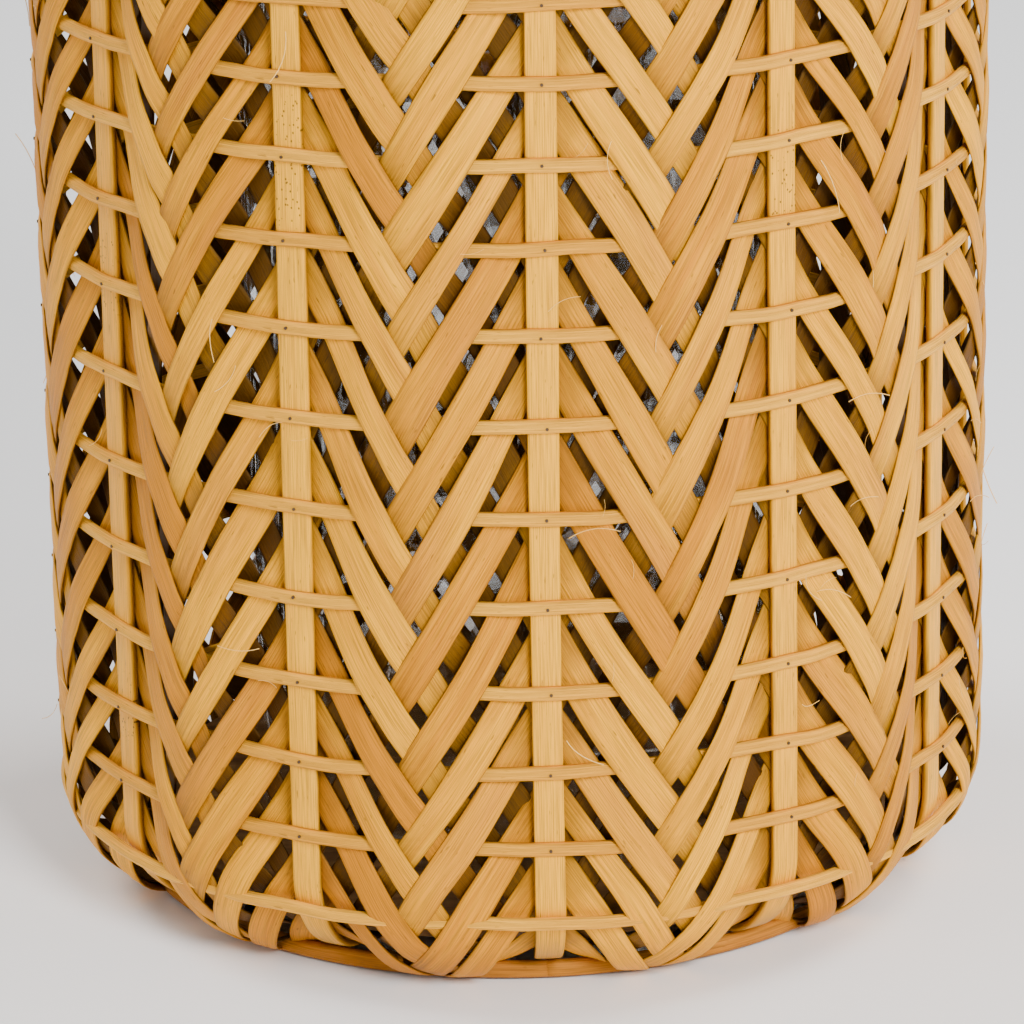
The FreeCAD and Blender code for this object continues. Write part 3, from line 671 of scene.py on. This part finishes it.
for side_number in range(GLASS_SIDES):
    after = (side_number + 1) % GLASS_SIDES
    glass_faces.append((0, 2 + after, 2 + side_number))
    for ring_number in range(len(rings) - 1):
        start = 2 + ring_number * GLASS_SIDES
        glass_faces.append((start + side_number, start + after, start + GLASS_SIDES + after,
                            start + GLASS_SIDES + side_number))
    start = 2 + (len(rings) - 1) * GLASS_SIDES
    glass_faces.append((start + side_number, start + after, 1))
glass_mesh = bpy.data.meshes.new("glass")
glass_mesh.from_pydata(glass_points, [], glass_faces)
glass_mesh.polygons.foreach_set("use_smooth", np.ones(len(glass_faces), dtype=bool))
glass_mesh.materials.append(clear_glass)
glass_mesh.update()
glass = bpy.data.objects.new("glass", glass_mesh)
bpy.context.scene.collection.objects.link(glass)
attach(glass, "glass")
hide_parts("glass_cylinder")

# ---------------------------------------------------------------- bail and studs
# A bent cane bail turns on two steel studs in the side stakes, and lies folded behind.
# The heads of the studs hold the ends of the cane on.
bail_skin = mottled_material("bent_bail_cane", (0.46, 0.15, 0.003), (0.78, 0.32, 0.004),
                             (60.0, 60.0, 60.0), {
                                 "Roughness": 0.42, "Specular IOR Level": 0.35,
                                 "Specular Tint": WARM_GLOSS}, detail=4.0, fade=(0.35, 0.65))
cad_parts["bail_handle"].material_slots[0].material = bail_skin
for node in ("bail_stud_left", "bail_stud_right"):
    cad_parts[node].material_slots[0].material = steel

# ---------------------------------------------------------------- camera, light and floor
# A long lens looks down from the front, a little to the left of the front stake.  The main soft
# box stands to its right, with a low fill at each side and two high boxes behind the lantern.
CAMERA_DISTANCE = 1.440
CAMERA_HEIGHT = 0.5706
CAMERA_SIDE = math.radians(-3.68)
CAMERA_PITCH = math.radians(18.39)
CAMERA_ROLL = math.radians(-0.96)
camera_data = bpy.data.cameras.new("camera")
camera_data.lens = 200.3
camera_data.sensor_width = 36.0
camera_data.shift_x = -0.002
camera = bpy.data.objects.new("camera", camera_data)
bpy.context.scene.collection.objects.link(camera)
camera.location = (CAMERA_DISTANCE * math.sin(CAMERA_SIDE),
                   -CAMERA_DISTANCE * math.cos(CAMERA_SIDE), CAMERA_HEIGHT)
camera.rotation_euler = (Matrix.Rotation(CAMERA_SIDE, 4, "Z")
                         @ Matrix.Rotation(math.pi / 2 - CAMERA_PITCH, 4, "X")
                         @ Matrix.Rotation(CAMERA_ROLL, 4, "Z")).to_euler("XYZ")
bpy.context.scene.camera = camera

LIT_MIDDLE = Vector((0, 0, 0.17))
SOFT_BOXES = (("key", (0.55, -1.5, 1.0), 0.6, 46.0),
              ("fill_right", (1.6, -0.7, 0.6), 0.8, 6.0),
              ("fill_left", (-1.6, -0.7, 0.6), 0.8, 6.0),
              ("high_left", (-1.4, 0.6, 1.8), 1.0, 34.0),
              ("high_right", (1.4, 0.6, 1.8), 1.0, 34.0))
for name, place, width, power in SOFT_BOXES:
    lamp_data = bpy.data.lights.new(name, "AREA")
    lamp_data.shape = "SQUARE"
    lamp_data.size = width
    lamp_data.energy = power
    lamp = bpy.data.objects.new(name, lamp_data)
    bpy.context.scene.collection.objects.link(lamp)
    lamp.location = place
    lamp.rotation_euler = (LIT_MIDDLE - Vector(place)).to_track_quat("-Z", "Y").to_euler()

studio = bpy.data.worlds.new("studio")
bpy.context.scene.world = studio
studio.use_nodes = True
sky = studio.node_tree.nodes["Background"]
sky.inputs["Color"].default_value = (1.0, 1.0, 1.0, 1.0)
sky.inputs["Strength"].default_value = 0.32

pale_floor = bpy.data.materials.new("pale_floor")
pale_floor.use_nodes = True
floor_shader = pale_floor.node_tree.nodes["Principled BSDF"]
floor_shader.inputs["Base Color"].default_value = (0.95, 0.95, 0.95, 1.0)
floor_shader.inputs["Roughness"].default_value = 0.95
floor_mesh = bpy.data.meshes.new("studio_floor")
floor_mesh.from_pydata([(-15, -15, 0), (15, -15, 0), (15, 15, 0), (-15, 15, 0)], [],
                       [(0, 1, 2, 3)])
floor_mesh.materials.append(pale_floor)
floor = bpy.data.objects.new("studio_floor", floor_mesh)
bpy.context.scene.collection.objects.link(floor)
